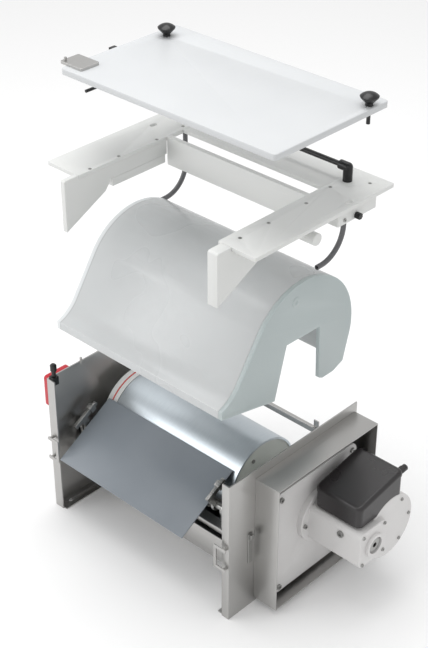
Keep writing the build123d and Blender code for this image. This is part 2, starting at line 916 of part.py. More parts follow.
# terminal box over the motor: its lid slopes up towards the back, and a gland leaves the back
box_y0 = -5.0
box_y1 = 140.0
box_x0 = 341.0
box_x1 = 462.0
box_z0 = 236.0
lid_front_z = 288.0
lid_back_z = 314.0
lid_edge = 13.0
lid_proud = 1.5
box_clear = 0.3
box_walls = slab_x(
    box_x0,
    box_x1,
    (box_y0, box_z0),
    (box_y1, box_z0),
    (box_y1, lid_back_z - lid_edge),
    (box_y0, lid_front_z - lid_edge),
)
box_cover = slab_x(
    box_x0 - lid_proud,
    box_x1 + lid_proud,
    (box_y0 - lid_proud, lid_front_z - lid_edge),
    (box_y1 + lid_proud, lid_back_z - lid_edge),
    (box_y1 + lid_proud, lid_back_z),
    (box_y0 - lid_proud, lid_front_z),
)
box_round = 12.0
cover_round = 9.0
gland_x = 449.0
gland_z = 299.0
gland_nut_r = 9.0
gland_nut_l = 12.0
gland_r = 7.5
gland_bore_r = 4.0
gland_l = 10.0
with BuildPart() as box_lid:
    add(box_cover)
    fillet(box_lid.edges().filter_by(Axis.Z), box_round + lid_proud)
    lid_face = box_lid.faces().filter_by(lambda f: f.normal_at().Z > 0.9)
    fillet(lid_face.edges(), cover_round)
with BuildPart() as terminal_box:
    add(box_walls)
    fillet(terminal_box.edges().filter_by(Axis.Z), box_round)
    add(box_lid.part)
    with BuildSketch(Plane.YZ.offset(box_x0 - lid_proud)):
        with Locations((motor_y, motor_z)):
            Circle(motor_r + box_clear)
    extrude(amount=case_x0 - box_x0 + lid_proud, mode=Mode.SUBTRACT)
    with BuildSketch(Plane.YZ.offset(case_x0)):
        with Locations((motor_y, motor_z)):
            Circle(case_r + box_clear)
    extrude(amount=2 * case_t, mode=Mode.SUBTRACT)
    with BuildSketch(Plane.XZ.offset(-box_y1)):
        with Locations((gland_x, gland_z)):
            RegularPolygon(gland_nut_r, 6)
    extrude(amount=-gland_nut_l)
    with BuildSketch(Plane.XZ.offset(-box_y1 - gland_nut_l)):
        with Locations((gland_x, gland_z)):
            Circle(gland_r)
            Circle(gland_bore_r, mode=Mode.SUBTRACT)
    extrude(amount=-gland_l)
keep(terminal_box.part, "terminal_box")


# ---------------------------------------------------------------- fittings on the base plates
# isolator switch on the left plate
switch_x0 = -half_w - 19
switch_y = -165.0
switch_z = 318.0
switch_w = 70.0
switch_h = 82.0
spindle_r = 5.0
spindle_l = 11.0
handle_r = 26.0
handle_disc_t = 3.0
handle_bar_w = 16.0
handle_bar_t = 7.0
with BuildPart() as switch_base:
    with BuildSketch(Plane.YZ.offset(switch_x0)):
        with Locations((switch_y, switch_z)):
            RectangleRounded(switch_w, switch_h, 8)
    extrude(amount=-half_w - switch_x0)
    chamfer(switch_base.faces().sort_by(Axis.X)[0].edges(), 2)
    with BuildSketch(Plane.YZ.offset(switch_x0)):
        with Locations((switch_y, switch_z)):
            Circle(spindle_r + run_gap)
    extrude(amount=spindle_l + 1, mode=Mode.SUBTRACT)
keep(switch_base.part, "switch_base")

handle_gap = 0.3
with BuildPart() as switch_handle:
    with BuildSketch(Plane.YZ.offset(switch_x0 - handle_gap)):
        with Locations((switch_y, switch_z)):
            Circle(handle_r)
    extrude(amount=-handle_disc_t)
    with BuildSketch(Plane.YZ.offset(switch_x0 - handle_gap - handle_disc_t)):
        with Locations((switch_y, switch_z)):
            SlotOverall(2 * handle_r + 8, handle_bar_w, rotation=90)
    extrude(amount=-handle_bar_t)
    fillet(switch_handle.faces().sort_by(Axis.X)[0].edges(), 2)
    with BuildSketch(Plane.YZ.offset(switch_x0 - handle_gap)):
        with Locations((switch_y, switch_z)):
            Circle(spindle_r)
    extrude(amount=spindle_l)
keep(switch_handle.part, "switch_handle")

# index plunger in a bracket at the front corner of the left plate
plunger_x = -half_w + 11
plunger_y = -half_d + 12
plunger_r = 5.0
bracket_top = base_h + 5
bracket_deep = 21.0
bracket_arm = 15.0
bracket_thick = 16.0
with BuildPart() as plunger_bracket:
    with BuildSketch(Plane.XY.offset(bracket_top - bracket_deep)):
        with Locations((-inner_x + bracket_arm / 2, plunger_y)):
            Rectangle(bracket_arm, bracket_thick)
        with Locations((plunger_x, plunger_y)):
            Circle(plunger_r + run_gap, mode=Mode.SUBTRACT)
    extrude(amount=bracket_deep)
keep(plunger_bracket.part, "plunger_bracket")

plunger_knob_r = 7.5
plunger_low = bracket_top - bracket_deep + 3
plunger_neck = 16.0
plunger_knob_h = 17.0
with BuildPart() as index_plunger:
    add(rod_z(plunger_x, plunger_y, plunger_low, bracket_top + plunger_neck, plunger_r))
    knob_foot = bracket_top + plunger_neck
    add(rod_z(plunger_x, plunger_y, knob_foot, knob_foot + plunger_knob_h, plunger_knob_r))
    chamfer(index_plunger.faces().sort_by(Axis.Z)[-1].edges(), 3)
keep(index_plunger.part, "index_plunger")

# latch keepers: flat C shapes that stand off the front of each plate
keeper_t = 3.0
keeper_off = 8.0
keeper_w = 34.0
keeper_h = 62.0
keeper_bar = 8.0
keeper_edge = half_w - 1
keeper_foot_in = 6.0
keeper_foot_r = 3.5
left_keeper_z = 145.0
right_keeper_z = 140.0


def latch_keeper(side, z0):
    """side is -1 left, +1 right; the bar of the C points at the middle of the machine."""
    mid_x = side * (keeper_edge - keeper_w / 2)
    open_x = side * (keeper_edge - (keeper_w - keeper_bar) / 2)
    foot_x = side * (keeper_edge - keeper_foot_in)
    feet = [(foot_x, z0 + keeper_bar / 2), (foot_x, z0 + keeper_h - keeper_bar / 2)]
    with BuildPart() as keeper:
        with BuildSketch(Plane.XZ.offset(half_d + keeper_off)):
            with Locations((mid_x, z0 + keeper_h / 2)):
                RectangleRounded(keeper_w, keeper_h, 3)
            with Locations((open_x, z0 + keeper_h / 2)):
                Rectangle(keeper_w - keeper_bar, keeper_h - 2 * keeper_bar, mode=Mode.SUBTRACT)
        extrude(amount=keeper_t)
        with BuildSketch(Plane.XZ.offset(half_d)):
            with Locations(*feet):
                Circle(keeper_foot_r)
        extrude(amount=keeper_off)
    return keeper.part


keep_group("latch_keepers", latch_keeper(-1, left_keeper_z), latch_keeper(1, right_keeper_z))

# small angles that the hood stands on when it is in place
rest_t = 3.0
rest_deep = 22.0
left_rest_w = 62.0
left_rest_y0 = 160.0
left_rest_y1 = 180.0
right_rest_w = 32.0
right_rest_y0 = 100.0
right_rest_y1 = 145.0
right_rest_z = hood_seat_z - hood_tail_low - seat_gap
left_rest_z = hood_seat_z - hood_back_low - seat_gap


def hood_rest(side, reach, y0, y1, top):
    """Two plates that meet at a right angle: a level one for the hood and one on the side plate."""
    wall = side * inner_x
    shelf_end = wall - side * reach
    web_end = wall - side * rest_t
    shelf = block(min(wall, shelf_end), max(wall, shelf_end), y0, y1, top - rest_t, top)
    web = block(min(wall, web_end), max(wall, web_end), y0, y1, top - rest_deep, top - rest_t)
    return shelf, web


keep_group(
    "hood_rests",
    *hood_rest(-1, left_rest_w, left_rest_y0, left_rest_y1, left_rest_z),
    *hood_rest(1, right_rest_w, right_rest_y0, right_rest_y1, right_rest_z),
)


# ---------------------------------------------------------------- hood
def arch(angle, radius=hood_r):
    """(Y, Z) on the crown, at an angle from +Y towards +Z."""
    return hood_y + radius * cos(radians(angle)), hood_z + radius * sin(radians(angle))


def hood_point(y, z):
    """(Y, Z) of a point given from the arch centre."""
    return hood_y + y, hood_z + z


foot_out = 207.0          # the foot of the flank, out from the arch centre and below it
foot_low = 26.0
lip_out = 241.0
lip_bottom = hood_point(-lip_out, -57)
lip_top = hood_point(-lip_out, -39)
flank_foot = hood_point(-foot_out, -foot_low)
foot_angle = degrees(atan2(foot_low, foot_out))
tangent_angle = 180 + foot_angle - degrees(acos(hood_r / hypot(foot_out, foot_low)))
back_angle = -10.0
back_low = hood_point(136, -hood_back_low)
tail_front = hood_point(69, -hood_tail_low)
tail_back = hood_point(104, -hood_tail_low)
crown_angle = (tangent_angle + back_angle) / 2


def hood_wall_section(x, wall):
    """The bent sheet seen along X: lip, flat flank, round crown and back, with a given wall."""
    with BuildSketch(Plane.YZ.offset(x)) as section:
        with BuildLine():
            Polyline(lip_bottom, lip_top, flank_foot, arch(tangent_angle))
            ThreePointArc(arch(tangent_angle), arch(crown_angle), arch(back_angle))
            Line(arch(back_angle), back_low)
            offset(amount=wall, side=Side.RIGHT)
        make_face()
    return section.sketch


rim_w = 8.0
rim_deep = 10.0
sheet_x1 = hood_x1 - hood_end_t
with BuildPart() as hood_shell:
    extrude(hood_wall_section(hood_x0, hood_wall), amount=sheet_x1 - hood_x0)
    extrude(hood_wall_section(hood_x0, hood_wall + rim_deep), amount=rim_w)
keep(hood_shell.part, "hood_shell")

hood_boss_r = 11.0
hood_boss_bore_r = 4.0
boss_point = hood_point(-26, 120)
notch = [hood_point(58, -105), hood_point(53, 26), hood_point(-50, 28), hood_point(-83, -93)]
with BuildPart() as hood_right_end:
    with BuildSketch(Plane.YZ.offset(sheet_x1)):
        with BuildLine():
            Polyline(lip_bottom, lip_top, flank_foot, arch(tangent_angle))
            ThreePointArc(arch(tangent_angle), arch(crown_angle), arch(back_angle))
            Polyline(
                arch(back_angle),
                back_low,
                tail_back,
                tail_front,
                *notch,
                lip_bottom,
            )
        make_face()
    extrude(amount=hood_end_t)
    with BuildSketch(Plane.YZ.offset(hood_x1)):
        with Locations(boss_point):
            Circle(hood_boss_r)
            Circle(hood_boss_bore_r, mode=Mode.SUBTRACT)
    extrude(amount=1.0)
keep(hood_right_end.part, "hood_right_end")


# ---------------------------------------------------------------- top frame
flange_under = frame_top - flange_t
left_inner_x = frame_x0 + flange_w
right_inner_x = frame_x1 - flange_w
left_skirt_x = left_inner_x - left_skirt_t
right_skirt_x = right_inner_x + 9
knob_stud_r = 4.0
stud_below = 25.0
lid_slide_y = lid_y0 + lid_d - lid_seat_back
lid_slide_z = lid_bottom - frame_top - seat_gap
slot_reach = (flange_t + stud_below) * lid_slide_y / lid_slide_z
slot_w = 2 * knob_stud_r + 3
left_knob_x = -238.0
left_knob_y = 150.0
right_knob_x = 291.0
right_knob_y = 165.0

left_leg_x = -275.0
right_leg_x = 250.0
leg_w = 29.0
leg_y0 = 105.0
leg_y1 = 226.0
head_r = 4.0
head_t = 2.2
head_clear = 0.2          # screw heads lie sunk in their pockets
left_screw_x = left_skirt_x + left_skirt_t / 2
right_screw_x = right_skirt_x + right_skirt_t / 2
screw_rows = (-130, -50, 60)
flange_screws = [(x, y) for x in (left_screw_x, right_screw_x) for y in screw_rows]
flange_screws += [(left_inner_x - 12, rear_panel_y + 12), (right_inner_x + 12, rear_panel_y + 12)]
flange_screws += [(left_leg_x + 14, leg_y1 - 14), (right_leg_x + 20, leg_y1 - 14)]


def slotted_flange(flange_x0, knob_x, knob_y):
    """A level flange with the slot that a lid stud drops into, and pockets for screw heads."""
    with BuildPart() as flange:
        with BuildSketch(Plane.XY.offset(flange_under)):
            with Locations((flange_x0 + flange_w / 2, (frame_y0 + frame_y1) / 2)):
                RectangleRounded(flange_w, frame_y1 - frame_y0, 3)
            with Locations((knob_x, knob_y - lid_slide_y + slot_reach / 2)):
                SlotOverall(slot_w + slot_reach, slot_w, rotation=90, mode=Mode.SUBTRACT)
        extrude(amount=flange_t)
        with BuildSketch(Plane.XY.offset(frame_top)):
            with Locations(*flange_screws):
                Circle(head_r + head_clear)
        extrude(amount=-head_t - head_clear, mode=Mode.SUBTRACT)
    return flange.part


keep(slotted_flange(frame_x0, left_knob_x, left_knob_y), "left_flange")
keep(slotted_flange(right_inner_x, right_knob_x, right_knob_y), "right_flange")
keep(
    block(left_inner_x, right_inner_x, rear_panel_y, frame_y1, flange_under, frame_top),
    "rear_panel",
)


def skirt(x0, thick):
    """Board under a flange: its front drops to a point and stands ahead of the flange."""
    front = frame_y0 - skirt_front
    return slab_x(
        x0,
        x0 + thick,
        (front, frame_top - 3),
        (front + 3, frame_top),
        (frame_y0, frame_top),
        (frame_y0, flange_under),
        (skirt_back_y, flange_under),
        (skirt_back_y, frame_top - skirt_low),
        (-78, frame_top - skirt_low),
        (-95, frame_top - 62),
        (front, frame_top - skirt_deep),
    )


keep(skirt(left_skirt_x, left_skirt_t), "left_skirt")
keep(skirt(right_skirt_x, right_skirt_t), "right_skirt")

keep_group(
    "rear_beam",
    block(left_inner_x, right_skirt_x, beam_y, beam_y + beam_t, frame_top - beam_h, flange_under),
    block(left_inner_x, right_inner_x, beam_y, beam_y + beam_t, flange_under, frame_top),
)

# rails under the skirts, which rest on the crown of the hood, with a round pin through each skirt
rail_y0 = -75.0
rail_y1 = 78.0
stub_r = 13.0
stub_y = 26.0
rail_low = frame_top - skirt_low - frame_rail_h
keep_group(
    "side_rails",
    block(left_skirt_x, left_inner_x, rail_y0, rail_y1, rail_low, frame_top - skirt_low),
    block(
        right_skirt_x, right_skirt_x + right_skirt_t, rail_y0, rail_y1, rail_low, frame_top - skirt_low
    ),
    rod_x(left_skirt_x - 42, left_skirt_x, stub_y, rail_low + stub_r, stub_r),
    rod_x(
        right_skirt_x + right_skirt_t,
        right_skirt_x + right_skirt_t + 46,
        stub_y,
        rail_low + stub_r,
        stub_r,
    ),
)

leg_low = flange_under - leg_h
knob_x = right_leg_x + leg_w
knob_y = 161.0
knob_z = flange_under - 40
knob_shank_r = 3.0
knob_shank_l = 14.0
grip_r = 7.0
grip_l = 12.0
grip_notch_r = 2.0
grip_notches = 8
with BuildPart() as right_leg:
    add(block(right_leg_x, right_leg_x + leg_w, leg_y0, leg_y1, leg_low, flange_under, 3))
    with BuildSketch(Plane.YZ.offset(knob_x)):
        with Locations((knob_y, knob_z)):
            Circle(knob_shank_r + run_gap)
    extrude(amount=-knob_shank_l - 1, mode=Mode.SUBTRACT)
keep_group(
    "frame_legs",
    block(left_leg_x, left_leg_x + leg_w, leg_y0, leg_y1, leg_low, flange_under, 3),
    right_leg.part,
)

with BuildPart() as leg_knob:
    with BuildSketch(Plane.YZ.offset(knob_x - knob_shank_l)):
        with Locations((knob_y, knob_z)):
            Circle(knob_shank_r)
    extrude(amount=knob_shank_l + seat_gap)
    with BuildSketch(Plane.YZ.offset(knob_x + seat_gap)):
        with Locations((knob_y, knob_z)):
            Circle(grip_r)
            with PolarLocations(grip_r + grip_notch_r / 2, grip_notches):
                Circle(grip_notch_r, mode=Mode.SUBTRACT)
    extrude(amount=grip_l)
    fillet(leg_knob.faces().sort_by(Axis.X)[-1].edges(), 1)
keep(leg_knob.part, "leg_knob")

# bent water pipes below the frame
pipe_r = 5.5
pipe_wall = 1.5
pipe_bend = 66.0
right_pipe_x = 266.0
right_pipe_y = 139.0
left_pipe_x = -240.0
left_pipe_y = 204.0
pipe_end = 13.0


def bent_pipe(x, y, z_top, z_bend):
    """A pipe that drops straight, then turns a quarter circle towards the front."""
    with BuildPart() as pipe:
        with BuildLine():
            FilletPolyline(
                (x, y, z_top),
                (x, y, z_bend - pipe_bend),
                (x, y - pipe_bend - pipe_end, z_bend - pipe_bend),
                radius=pipe_bend,
            )
        with BuildSketch(Plane.XY.offset(z_top)):
            with Locations((x, y)):
                Circle(pipe_r)
                Circle(pipe_r - pipe_wall, mode=Mode.SUBTRACT)
        sweep()
    return pipe.part


keep_group(
    "bent_pipes",
    bent_pipe(right_pipe_x, right_pipe_y, leg_low, leg_low - 10),
    bent_pipe(left_pipe_x, left_pipe_y, flange_under, frame_top - 124),
)

# cross pipe above the rear panel, between two elbows
cross_pipe_y = 190.0
cross_pipe_z = frame_top + 30
elbow_r = 10.0
left_elbow_x = -200.0
right_elbow_x = 230.0
elbow_reach = 20.0
elbow_floor = 6.0         # how near the elbow's axis the pipe comes


def pipe_elbow(x, way):
    """A socket elbow: up from the frame, then level; way is +1 or -1 along X."""
    with BuildPart() as elbow:
        with BuildSketch(Plane.XY.offset(frame_top)):
            with Locations((x, cross_pipe_y)):
                Circle(elbow_r)
        extrude(amount=cross_pipe_z - frame_top)
        with BuildSketch(Plane.YZ.offset(x)):
            with Locations((cross_pipe_y, cross_pipe_z)):
                Circle(elbow_r)
        extrude(amount=way * elbow_reach)
        with Locations((x, cross_pipe_y, cross_pipe_z)):
            Sphere(elbow_r)
        with BuildSketch(Plane.YZ.offset(x + way * elbow_reach)):
            with Locations((cross_pipe_y, cross_pipe_z)):
                Circle(pipe_r)
        extrude(amount=-way * (elbow_reach - elbow_floor), mode=Mode.SUBTRACT)
    return elbow.part


keep_group("pipe_elbows", pipe_elbow(left_elbow_x, 1), pipe_elbow(right_elbow_x, -1))
pipe_start = left_elbow_x + elbow_floor
pipe_stop = right_elbow_x - elbow_floor
keep(
    rod_x(pipe_start, pipe_stop, cross_pipe_y, cross_pipe_z, pipe_r, pipe_r - pipe_wall),
    "cross_pipe",
)

keep_group(
    "frame_screws",
    screws_z(frame_top - head_t - head_clear, flange_screws, head_r, head_t),
    screws_x(knob_x, [(leg_y0 + 20, knob_z + 2)], head_r, head_t),
)


# ---------------------------------------------------------------- lid
lid_top = lid_bottom + lid_t
knob_bore_r = knob_stud_r + run_gap
with BuildPart() as lid_plate:
    with BuildSketch(Plane.XY.offset(lid_bottom)):
        with Locations(((lid_x0 + lid_x1) / 2, lid_y0 + lid_d / 2)):
            RectangleRounded(lid_x1 - lid_x0, lid_d, 8)
    extrude(amount=lid_t)
    chamfer(lid_plate.faces().sort_by(Axis.Z)[-1].edges(), 1.2)
    with BuildSketch(Plane.XY.offset(lid_bottom)):
        with Locations((left_knob_x, left_knob_y), (right_knob_x, right_knob_y)):
            Circle(knob_bore_r)
    extrude(amount=lid_t, mode=Mode.SUBTRACT)
keep(lid_plate.part, "lid_plate")

# mushroom knobs: a foot that widens as a cone to a flat domed head, on a stud through the lid
knob_r = 19.0
knob_foot_r = 8.0
knob_foot_h = 5.0
knob_cone_h = 16.0
knob_rim_h = 19.0
dome_h = 8.0
dome_r = (knob_r**2 + dome_h**2) / (2 * dome_h)
dome_angle = asin(knob_r / dome_r)


def mushroom_knob(x, y):
    foot = lid_top + seat_gap
    dome_top = foot + knob_rim_h + dome_h
    dome_mid_r = dome_r * sin(dome_angle / 2)
    dome_mid_z = dome_top - dome_r * (1 - cos(dome_angle / 2))
    with BuildPart() as knob:
        with BuildSketch(Plane.XZ.offset(-y)):
            with BuildLine():
                Polyline(
                    (x, foot),
                    (x + knob_foot_r, foot),
                    (x + knob_foot_r, foot + knob_foot_h),
                    (x + knob_r - 1, foot + knob_cone_h),
                    (x + knob_r, foot + knob_rim_h),
                )
                ThreePointArc(
                    (x + knob_r, foot + knob_rim_h),
                    (x + dome_mid_r, dome_mid_z),
                    (x, dome_top),
                )
                Line((x, dome_top), (x, foot))
            make_face()
        revolve(axis=Axis((x, y, 0), (0, 0, 1)))
        with BuildSketch(Plane.XY.offset(foot)):
            with Locations((x, y)):
                Circle(knob_stud_r)
        extrude(amount=lid_bottom - stud_below - foot)
    return knob.part


keep(mushroom_knob(left_knob_x, left_knob_y), "left_lid_knob")
keep(mushroom_knob(right_knob_x, right_knob_y), "right_lid_knob")

# sensor plate on the lid's left front corner, with a small post
sensor_w = 64.0
sensor_d = 50.0
sensor_t = 6.0
post_r = 3.0
post_h = 7.0
with BuildPart() as sensor_plate:
    with BuildSketch(Plane.XY.offset(lid_top)):
        with Locations((-256, -78)):
            RectangleRounded(sensor_w, sensor_d, 4)
    extrude(amount=sensor_t)
    fillet(sensor_plate.faces().sort_by(Axis.Z)[-1].edges(), 1)
    with BuildSketch(Plane.XY.offset(lid_top + sensor_t)):
        with Locations((-280, -95)):
            Circle(post_r)
    extrude(amount=post_h)
keep(sensor_plate.part, "sensor_plate")

# interlock rod: hangs from a clip on the lid's left edge and turns forwards
hook_r = 3.5
hook_x = lid_x0 - 13.5
hook_back_y = 40.0
hook_front_y = -42.0
hook_low = lid_bottom - 66
hook_top = lid_bottom + 6
hook_bend = 14.0
clip_top = lid_bottom + 7
clip_half_w = 8.0
with BuildPart() as interlock_rod:
    with BuildLine():
        FilletPolyline(
            (hook_x, hook_back_y, hook_top),
            (hook_x, hook_back_y, hook_low),
            (hook_x, hook_front_y, hook_low),
            radius=hook_bend,
        )
    with BuildSketch(Plane.XY.offset(hook_top)):
        with Locations((hook_x, hook_back_y)):
            Circle(hook_r)
    sweep()
    clip_y0 = hook_back_y - clip_half_w
    clip_y1 = hook_back_y + clip_half_w
    add(block(hook_x - 6, lid_x0, clip_y0, clip_y1, lid_bottom + 1, clip_top))
keep(interlock_rod.part, "interlock_rod")
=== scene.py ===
# %% [markdown]
# # A scraped drum ice machine, opened up
#
# The machine is shown taken apart: the base with its drum and gearmotor stands on the floor, and
# the hood, the top frame and the lid hang above it in the order in which they come off. The frame
# that is loaded here already holds every part at its real size and place. What this lesson adds is
# the finish: rounded edges, a soft fold in the hood, a small catch, and a material for each surface.

# %% Load the machine
import json
from math import cos, radians, sin

import bmesh
import bpy
import numpy as np
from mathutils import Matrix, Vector


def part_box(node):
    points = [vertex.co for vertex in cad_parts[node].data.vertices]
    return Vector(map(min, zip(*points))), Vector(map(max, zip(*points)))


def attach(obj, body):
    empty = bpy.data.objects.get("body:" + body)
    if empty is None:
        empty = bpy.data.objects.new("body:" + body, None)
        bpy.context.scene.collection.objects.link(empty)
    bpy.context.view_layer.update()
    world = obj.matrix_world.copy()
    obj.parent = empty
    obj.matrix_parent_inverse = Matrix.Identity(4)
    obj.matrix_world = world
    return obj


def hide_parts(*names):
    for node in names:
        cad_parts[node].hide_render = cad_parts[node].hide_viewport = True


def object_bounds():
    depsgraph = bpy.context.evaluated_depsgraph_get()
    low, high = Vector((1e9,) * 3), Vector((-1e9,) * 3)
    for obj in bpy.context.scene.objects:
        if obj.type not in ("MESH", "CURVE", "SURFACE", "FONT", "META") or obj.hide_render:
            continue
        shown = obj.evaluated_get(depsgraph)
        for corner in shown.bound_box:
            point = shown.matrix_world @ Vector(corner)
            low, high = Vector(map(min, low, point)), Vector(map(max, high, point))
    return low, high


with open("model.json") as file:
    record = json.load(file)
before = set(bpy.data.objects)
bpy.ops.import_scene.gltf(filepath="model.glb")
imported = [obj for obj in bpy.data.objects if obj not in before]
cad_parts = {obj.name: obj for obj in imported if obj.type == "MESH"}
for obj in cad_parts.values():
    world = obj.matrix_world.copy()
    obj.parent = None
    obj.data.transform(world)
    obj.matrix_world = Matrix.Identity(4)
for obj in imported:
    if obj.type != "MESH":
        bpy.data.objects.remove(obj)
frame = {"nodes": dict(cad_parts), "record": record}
nodes = frame["nodes"]
body_of = {n: body for body, names in frame["record"]["behaviour"]["bodies"].items() for n in names}
slot_of = {s["node"]: s["material_slot"] for s in frame["record"]["subparts"]}
cad_low, cad_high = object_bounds()
print("CAD box", [round(v, 4) for v in cad_low], [round(v, 4) for v in cad_high])

# %% [markdown]
# ## Camera
#
# The view is a long lens held above the front right corner, so that upright edges stay almost
# parallel. A camera looks along its own -Z axis. Pointing its Z axis backwards along the line of
# sight, with Y kept upwards, is all the turning that it needs.

# %% Camera
camera_place = Vector((1.803, -1.849, 2.201))
camera_azimuth = radians(43.6)
camera_elevation = radians(32.8)
sensor_width_mm = 36.0
lens_mm = 79.44
farthest_seen = 60.0
line_back = Vector(
    (
        sin(camera_azimuth) * cos(camera_elevation),
        -cos(camera_azimuth) * cos(camera_elevation),
        sin(camera_elevation),
    )
)
camera_data = bpy.data.cameras.new("camera")
camera_data.sensor_width = sensor_width_mm
camera_data.lens = lens_mm
camera_data.clip_end = farthest_seen
camera = bpy.data.objects.new("camera", camera_data)
camera.location = camera_place
camera.rotation_euler = line_back.to_track_quat("Z", "Y").to_euler()
bpy.context.scene.collection.objects.link(camera)
bpy.context.scene.camera = camera
print("camera lens", lens_mm, "mm")

# %% [markdown]
# ## Light and floor
#
# A white machine shows its shape under a large soft lamp overhead and a weaker one from the front
# left, in a bright room. The floor, made further down, gives off a little light of its own, so that
# it stays pale right up to the shadow under the machine.


# %% Lights
def soft_light(name, place, target, width, depth, watts):
    """A rectangular lamp that faces the target point."""
    lamp = bpy.data.lights.new(name, "AREA")
    lamp.shape = "RECTANGLE"
    lamp.size = width
    lamp.size_y = depth
    lamp.energy = watts
    holder = bpy.data.objects.new(name, lamp)
    holder.location = place
    away = Vector(place) - Vector(target)
    holder.rotation_euler = away.to_track_quat("Z", "Y").to_euler()
    bpy.context.scene.collection.objects.link(holder)


aim_height = 0.5
middle = (cad_low[0] + cad_high[0]) / 2, (cad_low[1] + cad_high[1]) / 2, aim_height
soft_light(
    "overhead_light", place=(-0.5, 0.1, 3.4), target=middle, width=2.4, depth=2.0, watts=46
)
soft_light("front_light", place=(-1.9, -2.7, 1.9), target=middle, width=1.8, depth=1.6, watts=22)

room_brightness = 0.8
world = bpy.data.worlds.new("studio")
bpy.context.scene.world = world
world.use_nodes = True
world.node_tree.nodes["Background"].inputs["Color"].default_value = (1.0, 1.0, 1.0, 1)
world.node_tree.nodes["Background"].inputs["Strength"].default_value = room_brightness
bpy.context.scene.view_settings.view_transform = "Standard"

# %% [markdown]
# ## Shader maths as plain expressions
#
# A material is a graph of small sums. Written out node by node it is hard to read, so one class
# wraps a socket and adds a Math node for each operator, and another holds the material and makes
# any other node from its type, its settings and its inputs.


# %% Shader helpers
class Value:
    """A socket of a material; + - and * on it add Math nodes."""

    def __init__(self, finish, socket):
        self.finish = finish
        self.socket = socket

    def maths(self, operation, first, second):
        inputs = {0: first, 1: second}
        return self.finish.node("ShaderNodeMath", {"operation": operation}, inputs)

    def __add__(self, other):
        return self.maths("ADD", self, other)

    def __radd__(self, other):
        return self.maths("ADD", other, self)

    def __sub__(self, other):
        return self.maths("SUBTRACT", self, other)

    def __rsub__(self, other):
        return self.maths("SUBTRACT", other, self)

    def __mul__(self, other):
        return self.maths("MULTIPLY", self, other)

    def __rmul__(self, other):
        return self.maths("MULTIPLY", other, self)

    def above(self, edge, softness):
        """0 below the edge, 1 above it, with a soft step between."""
        inputs = {"Value": self, "From Min": edge - softness, "From Max": edge + softness}
        return self.finish.node("ShaderNodeMapRange", {"interpolation_type": "SMOOTHSTEP"}, inputs)


class Finish:
    """A material with a Principled shader; constants are set on the shader's own sockets."""

    def __init__(self, name, **constants):
        self.material = bpy.data.materials.new(name)
        self.material.use_nodes = True
        self.tree = self.material.node_tree
        self.shader = self.tree.nodes["Principled BSDF"]
        for socket, value in constants.items():
            socket = socket.replace("_", " ")
            if self.shader.inputs[socket].type == "RGBA":
                value = (*value, 1.0)
            self.shader.inputs[socket].default_value = value

    def node(self, kind, settings, inputs, output=0):
        """Any node: settings first, then a number, vector or link for each named input."""
        node = self.tree.nodes.new(kind)
        for key, value in settings.items():
            setattr(node, key, value)
        for key, value in inputs.items():
            if isinstance(value, Value):
                self.tree.links.new(value.socket, node.inputs[key])
            else:
                node.inputs[key].default_value = value
        return Value(self, node.outputs[output])

    def place(self, stretch=(1.0, 1.0, 1.0)):
        """Object coordinates in metres, stretched along each axis."""
        coords = self.node("ShaderNodeTexCoord", {}, {}, "Object")
        return self.node("ShaderNodeMapping", {}, {"Vector": coords, "Scale": stretch})

    def coordinate(self, axis):
        """The X, Y or Z of a point in metres: axis is 0, 1 or 2."""
        coords = self.node("ShaderNodeTexCoord", {}, {}, "Object")
        return self.node("ShaderNodeSeparateXYZ", {}, {"Vector": coords}, axis)

    def noise(self, scale, detail=3.0, stretch=(1.0, 1.0, 1.0), roughness=0.5):
        """Cloudy values about 0.5; scale is in waves per metre."""
        inputs = {
            "Vector": self.place(stretch),
            "Scale": scale,
            "Detail": detail,
            "Roughness": roughness,
        }
        return self.node("ShaderNodeTexNoise", {}, inputs, "Fac")

    def mix(self, amount, first, second):
        """Colour first where amount is 0 and second where it is 1."""
        inputs = {"Factor": amount, "A": first, "B": second}
        mixer = self.tree.nodes.new("ShaderNodeMix")
        mixer.data_type = "RGBA"
        for key, value in inputs.items():
            socket = next(i for i in mixer.inputs if i.name == key and i.enabled)
            if isinstance(value, Value):
                self.tree.links.new(value.socket, socket)
            else:
                socket.default_value = (*value, 1.0) if isinstance(value, tuple) else value
        return Value(self, next(o for o in mixer.outputs if o.enabled))

    def bump(self, height, strength, distance):
        """Feeds the shader's normal from a height; distance is the depth in metres."""
        inputs = {"Height": height, "Strength": strength, "Distance": distance}
        self.to("Normal", self.node("ShaderNodeBump", {}, inputs, "Normal"))

    def to(self, socket, value):
        self.tree.links.new(value.socket, self.shader.inputs[socket])


def tone(red, green, blue):
    """A colour given as it looks on a screen, 0 to 255, in the linear values that shaders use."""
    linear = []
    for part in (red / 255, green / 255, blue / 255):
        linear.append(part / 12.92 if part <= 0.04045 else ((part + 0.055) / 1.055) ** 2.4)
    return tuple(linear)


# %% Floor
floor_half = 12.0
floor_mesh = bpy.data.meshes.new("floor")
floor_mesh.from_pydata(
    [(x * floor_half, y * floor_half, 0) for x, y in ((-1, -1), (1, -1), (1, 1), (-1, 1))],
    [],
    [(0, 1, 2, 3)],
)
floor = bpy.data.objects.new("floor", floor_mesh)
bpy.context.scene.collection.objects.link(floor)
floor_finish = Finish(
    "floor_paper",
    Base_Color=(0.93, 0.93, 0.93),
    Roughness=0.9,
    Emission_Color=(1.0, 1.0, 1.0),
    Emission_Strength=0.05,
)
floor_mesh.materials.append(floor_finish.material)

# %% [markdown]
# ## Stainless sheet
#
# The side plates, the drive pan and the trough are brushed stainless sheet. Brushing leaves short
# streaks in one direction: noise that is stretched along Y gives both the streaks in the roughness
# and a very shallow bump. A second, large and faint noise stands for the smears of handling.


